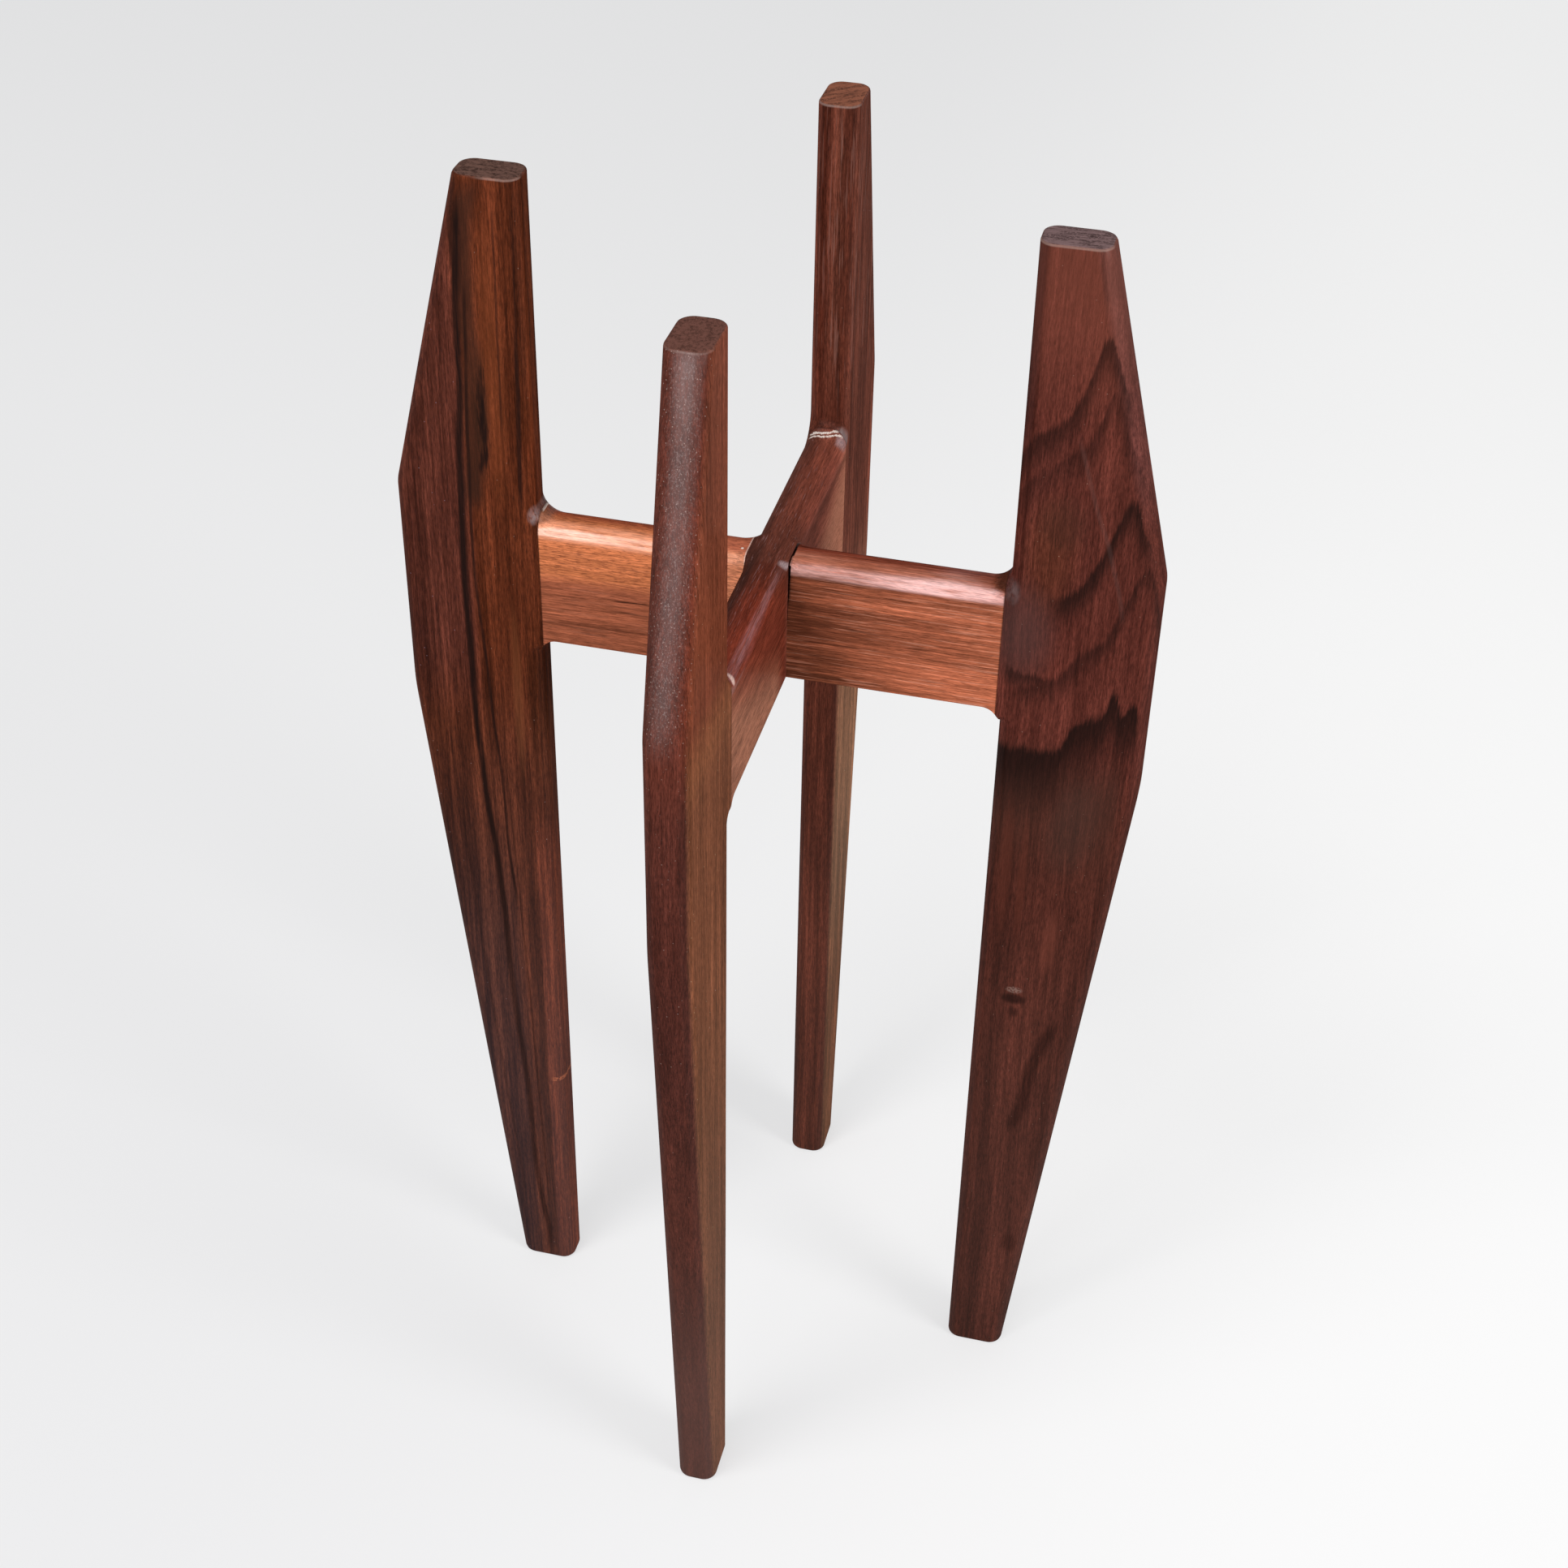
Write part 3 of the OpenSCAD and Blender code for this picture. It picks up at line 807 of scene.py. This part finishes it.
def left_right_rail_wood():
    """Golden orange with short dark flecks on the left, browner on the right, with painted shade at the
    crossing and in the fillets, and painted highlights on the rounded front edge
    """
    board = rail_board("rail_left_right_wood", 0, 20.0)
    left = board.along.rise(5, -5)
    upper = board.across.rise(441, 449)
    # painted shade on the face beside the crossing, on the right
    crossing = board.along.rise(62, 12) * board.along.rise(5, 9) * board.upward.rise(0.9, 0.2)
    light = board.along.rise(30, 100) * board.across.rise(446, 416)
    tone = (board.tone - 0.5) * (1.25 - left * 0.35) + 0.45
    tone = tone + left * upper * 0.35 + light * 0.24 - crossing * 0.25
    oranges = tones((0.115, 0.260, 0.390, 0.62), 0.29, 0.145)
    board.colour = board.node("ShaderNodeValToRGB", {"stops": oranges}, [tone - left * (1 - upper) * 0.05])
    board.tint(left * upper, (1.0, 1.06, 0.85))
    flecks = board.pattern(0.6, 4.0, 2, 0.6).rise(0.50, 0.64) * left * upper
    board.lay((board.pores * 0.5).at_least(flecks * 0.55), (0.115, 0.030, 0.016))
    pink = board.pattern(0.8, 30, 2, 0.5).rise(0.56, 0.66) * (1 - left * 0.8)
    close = board.along.rise(-32, -18) * left * upper
    board.tint(close, (1.15, 1.35, 1.7))
    board.lay(pink * 0.35, (0.62, 0.27, 0.18))
    shaded = board.through.rise(-4, 5) * 0.6 + 0.4
    shaded = shaded * (1 - left) + board.through.rise(-2.5, 4) * left * 0.9
    # painted shade on the left rail's top near the crossing, laid with the painted shade at the back of the
    # top
    dull = abs(board.along).rise(35, 24) * left * board.upward.rise(0.75, 0.97) * 0.8
    shaded = (shaded * board.across.rise(462.5, 466)).at_least(dull)
    board.tint(shaded, (0.61, 0.415, 0.44))
    crack = abs(board.across - board.along * 0.055 - 441.4).rise(0.35, 0.1)
    crack = crack * board.along.rise(-72, -66) * board.along.rise(-52, -56) * board.through.rise(-8, -9)
    nick = blot(board, 466.6, -56.5, 0.8, 2.6, 0.2) * board.through.rise(-2, -4)
    # painted shade in the gap at the notch's far shoulder, laid with a real crack and nick
    gap = board.along.rise(11.2, 10.2) * board.along.rise(5, 8) * board.across.rise(446, 456)
    board.lay((crack * 0.85).at_least(nick * 0.8).at_least(gap * 0.8), DARK)
    # painted highlights on the rounded front edge: a band and a glint on the left half, a crest and a band on
    # the right half
    swirl = board.pattern(2.2, 22, 3, 0.6).rise(0.12, 0.60)
    highlight_strength = board.curve(board.along, 0, 1, [(-104, 0.9), (-20, 0.8), (0, 0.7), (18, 0.42), (32, 0.46),
                                           (55, 0.80), (75, 0.95), (90, 0.82), (104, 0.58)])
    edge = board.across.rise(463.8, 466.0) * highlight_strength * swirl
    far = 1 - board.along.rise(-48, -30) * 0.7
    start = board.along.rise(-40, -24) * -2.5 - 0.8
    rear_highlight = edge * (start - board.through).rise(0, 5.4) * left * far * 0.8
    board.lay(rear_highlight, (0.82, 0.35, 0.21))
    painted_glint = edge * board.across.rise(470.2, 469.0) * board.across.rise(465.6, 467.0) * far
    painted_glint = painted_glint * (board.along.rise(-62, -92) * 0.45 + 0.35)
    board.lay(painted_glint * left, (0.90, 0.56, 0.45))
    crest_highlight = board.through.rise(2.0, -3.0) * (board.along.rise(45, 15) * 0.28 + 0.18)
    crest_highlight = crest_highlight * board.along.rise(102, 84)
    sway = (board.pattern(16, 60, 2, 0.5) - 0.5) * 4
    band = (board.across + sway).rise(471.0, 468.6) * 0.88
    board.lay(edge * crest_highlight * (1 - left), (0.88, 0.40, 0.29))
    board.lay(edge * band * (1 - left), (0.90, 0.55, 0.53))
    # painted shade in the fillets where the rail meets the legs
    fillet = board.along.rise(95, 101.5) * board.across.rise(469.5, 472.0)
    recess_shade = board.along.rise(-96, -102) * board.across.rise(470.5, 472.0) * 0.6
    board.lay((fillet * 0.85).at_least(recess_shade), (0.050, 0.016, 0.009))
    shoulder = abs(board.along + 10.0).rise(0.4, 0.2) * board.across.rise(465.5, 466.5)
    joint = board.along.rise(-103.1, -103.4) * board.across.rise(471.5, 473.5)
    joint = joint * board.through.rise(-3.5, -1.0)
    drops = drop(board, -12.4, -3.7, 471, 0.8).at_least(drop(board, -11.7, -8.3, 468.4, 0.7))
    board.lay((shoulder * 0.4).at_least(drops * 0.95).at_least(joint * 0.65), GLUE)
    return finish_rail(board, (0.75 - left * 0.35) * (1 - fillet) * far)


def front_back_rail_wood():
    """Dark red-brown on top, lighter and tan low on its sides, with a bead of old glue at the back, painted
    shade on its left rounding and near the crossing, and painted highlights and sheen on its right rounding
    """
    board = rail_board("rail_front_back_wood", 90, 60.0)
    low = (board.across - abs(board.along) * 0.45 - 416).rise(16, -16) * abs(board.along).rise(12, 30)
    side = board.across.rise(462, 452)
    back = board.along.rise(20, 60)
    right = board.through.rise(-4.5, -6.5)
    mottle = board.pattern(6, 22, 3, 0.6) - 0.5
    tone = (board.tone - 0.5) * (0.75 - low * 0.25) + 0.5 + mottle * 0.6 + low * 0.16
    tone = tone + side * back * 0.25 + back * 0.07
    reds = tones((0.070, 0.135, 0.200, 0.33), 0.265, 0.165)
    board.colour = board.node("ShaderNodeValToRGB", {"stops": reds}, [tone])
    board.tint(low * (0.95 - back * 0.2), (1.35, 2.10, 2.05))
    board.lay(board.pores * 0.5, (0.040, 0.012, 0.009))
    wine = board.along.rise(-8, -16) * (1 - low)
    board.tint(wine, (0.85, 0.66, 0.58))
    top = board.across.rise(462, 466)
    board.tint(board.along.rise(-25, -45) * top, (1.30, 1.15, 1.12))
    lit = board.through.rise(-4.0, -8.5) * board.along.rise(15, 40) * top
    board.tint(lit, (1.5, 1.45, 1.45))
    # painted shade on the left rounding and near the crossing
    left_shade = board.through.rise(-3, 6) * board.across.rise(455, 466) * (board.along.rise(20, -10) * 0.35 + 0.65)
    near = abs(board.along).rise(34, 8) * board.across.rise(455, 466)
    board.lay((left_shade * 0.85).at_least(near * 0.4), (0.030, 0.012, 0.009))
    scuffs = board.pattern(0.6, 12, 2, 0.7).rise(0.60, 0.70) * board.upward.rise(0.5, 0.9)
    board.lay(scuffs * 0.35, (0.330, 0.190, 0.190))
    streaks = board.pattern(0.7, 18, 3, 0.7).rise(0.32, 0.62)
    # a painted sheen band along the right rounding, towards the front
    width = board.along.rise(-20, -75) * 1.1 + 0.8
    painted_sheen = (abs(board.through + 7.2) / width).rise(1.6, 0.3)
    painted_sheen = painted_sheen * board.across.rise(463, 466) * board.along.rise(-12, -30)
    board.lay(painted_sheen * streaks * 0.45, (0.310, 0.145, 0.155))
    # a painted highlight on the right rounding by the crossing
    corner_highlight = blot(board, 469.8, -10.8, 2.6, 2.8, -0.9) * right
    board.lay(corner_highlight * 0.8, (0.500, 0.410, 0.430))
    dip = board.through * board.through * 0.022 - board.through * 0.156
    off = board.along - dip - 101.6 + (board.pattern(1.2, 1.2, 2) - 0.5)
    bead = abs(abs(off) - 0.75).rise(0.55, 0.25) * board.across.rise(468.5, 470)
    bead = bead * board.pattern(0.6, 1.1, 2).rise(0.34, 0.46) * abs(board.through).rise(8.2, 7.2)
    # a painted sheen on the right by the back joint
    painted_back_sheen = blot(board, 470, 101.0, 5.0, 5.5, -0.8) * right
    board.lay(painted_back_sheen * 0.9, (0.36, 0.30, 0.32))
    # a painted highlight where the right rounding meets the front leg
    highlight_tip = blot(board, 468.6, -99.0, 3.0, 2.6, 0.0) * right
    board.lay(highlight_tip * 0.85, (0.80, 0.56, 0.50))
    board.lay(bead * 0.9, GLUE)
    return finish_rail(board, board.along.rise(15, -15) * right * 0.2 + 0.02)


def dowel_wood():
    """Bare pale beech with short flecks"""
    board = Board("dowel_wood", 0, "x", 5.0, 1.0)
    fleck = board.pattern(0.5, 2.5, 2, 0.5).rise(0.55, 0.7)
    tone = board.pattern(1.5, 30, 2, 0.5)
    board.colour = board.mix(tone, (0.52, 0.36, 0.20), (0.72, 0.55, 0.35))
    board.lay(fleck * 0.4, (0.38, 0.23, 0.12))
    return wood_finish(board, tone * 0.4 - fleck * 0.4, 0.62 - fleck * 0.05, fleck * 0.02)


# ---------------------------------------------------------------- the stand
FINISHES = {"left": left_leg_wood, "right": right_leg_wood, "front": front_leg_wood, "back": back_leg_wood}
for side, bearing in BEARINGS.items():
    piece = leg(side)
    drill(piece, bearing, JOINT_R - OVERCUT, JOINT_R + DOWEL_DEPTH)
    settle(piece, FINISHES[side](), "leg_" + side)

for name, bearing, notch_up, opened, rail_finish in (
        ("rail_left_right", 0, True, 1.2, left_right_rail_wood),
        ("rail_front_back", 90, False, 0.0, front_back_rail_wood)):
    piece = rail(name + "_wood", bearing, notch_up, opened)
    for end in (0, 180):
        drill(piece, bearing + end, JOINT_R - DOWEL_DEPTH, JOINT_R + OVERCUT)
    settle(piece, rail_finish(), name)

pin_finish = dowel_wood()
for name, node in frame["nodes"].items():
    if name.startswith("dowel_"):
        for slot in node.material_slots:
            slot.material = pin_finish


# ---------------------------------------------------------------- floor, light and camera
def floor():
    """A pale floor that the camera and reflections see a little brighter than it lights the stand"""
    mesh = bpy.data.meshes.new("floor")
    corners = [(FLOOR_R * x, FLOOR_R * y, 0) for x, y in ((-1, -1), (1, -1), (1, 1), (-1, 1))]
    mesh.from_pydata(corners, [], [(0, 1, 2, 3)])
    ground = linked("floor", mesh)
    paint = Shade("floor_paint")
    seen = seen_rays(paint)
    place = paint.node("ShaderNodeSeparateXYZ", None, [paint.node("ShaderNodeTexCoord", out=3)])
    x, y = [Wire(paint, socket) for socket in list(place.socket.node.outputs)[:2]]
    # painted light: the floor is laid brighter towards the right and the back
    pale = paint.mix(x.rise(-0.35, 0.40) * 0.62 + y.rise(-0.5, 0.8) * 0.38, FLOOR_DARK, FLOOR_PALE)
    plain = paint.node("ShaderNodeBsdfDiffuse", None, {"Color": paint.mix(seen, (0.70, 0.70, 0.70), pale)})
    bright = paint.node("ShaderNodeEmission", None, {"Color": pale, "Strength": 1.0})
    surface = paint.node("ShaderNodeMixShader", None, [seen * 0.65, plain, bright])
    paint.node("ShaderNodeOutputMaterial", None, {"Surface": surface})
    ground.data.materials.append(paint.finish)


def seen_rays(paint):
    """1 for what the camera sees, straight on or in a reflection or through glass"""
    path = paint.tree.nodes.new("ShaderNodeLightPath")
    camera_ray, glossy, through = [Wire(paint, path.outputs[name]) for name in (
        "Is Camera Ray", "Is Glossy Ray", "Is Transmission Ray")]
    return camera_ray.at_least(glossy).at_least(through)


def lamp(name, place, size, power, colour):
    """A soft round lamp that points at the stand"""
    light = bpy.data.lights.new(name, "AREA")
    light.shape, light.size, light.energy, light.color = "DISK", size, power, colour
    turned = (Vector(LAMP_TARGET) - Vector(place)).to_track_quat("-Z", "Y").to_matrix().to_4x4()
    linked(name, light).matrix_world = Matrix.Translation(place) @ turned


def world(strength):
    """Plain light from all round, and a pale background behind it"""
    sky = Shade("studio", bpy.data.worlds)
    seen = seen_rays(sky)
    light = sky.node("ShaderNodeBackground", None, {"Color": (0.97, 0.985, 1.0, 1), "Strength": strength})
    back = sky.node("ShaderNodeBackground", None, {"Color": (0.86, 0.865, 0.875, 1), "Strength": 1.0})
    shown = sky.node("ShaderNodeMixShader", None, [seen, light, back])
    sky.node("ShaderNodeOutputWorld", None, {"Surface": shown})
    bpy.context.scene.world = sky.finish


def camera():
    """The camera at the photo's place and angle, which the outlines of the legs give"""
    yaw, pitch, roll = CAMERA_TURN
    forward = Vector((-math.sin(yaw) * math.cos(pitch), math.cos(yaw) * math.cos(pitch), -math.sin(pitch)))
    level = Vector((math.cos(yaw), math.sin(yaw), 0))
    steep = level.cross(forward)
    right = math.cos(roll) * level + math.sin(roll) * steep
    up = math.cos(roll) * steep - math.sin(roll) * level
    data = bpy.data.cameras.new("camera")
    data.sensor_fit, data.sensor_width, data.lens = "HORIZONTAL", SENSOR, SENSOR * FOCAL / PHOTO_WIDTH
    data.clip_start, data.clip_end = 0.05, 60
    thing = linked("camera", data)
    turned = Matrix((right, up, -forward)).transposed().to_4x4()
    thing.matrix_world = Matrix.Translation(CAMERA_AT) @ turned
    bpy.context.scene.camera = thing


floor()
lamp("window", (-0.9, -1.2, 2.3), 0.9, 26, (1.0, 0.985, 0.965))
lamp("front_window", (-0.6, -2.75, 0.95), 1.5, 33, (0.98, 0.985, 1.0))
lamp("side_window", (2.1, -0.9, 1.3), 1.1, 34, (1.0, 0.99, 0.97))
world(0.38)
camera()
bpy.context.scene.view_settings.view_transform = "Standard"
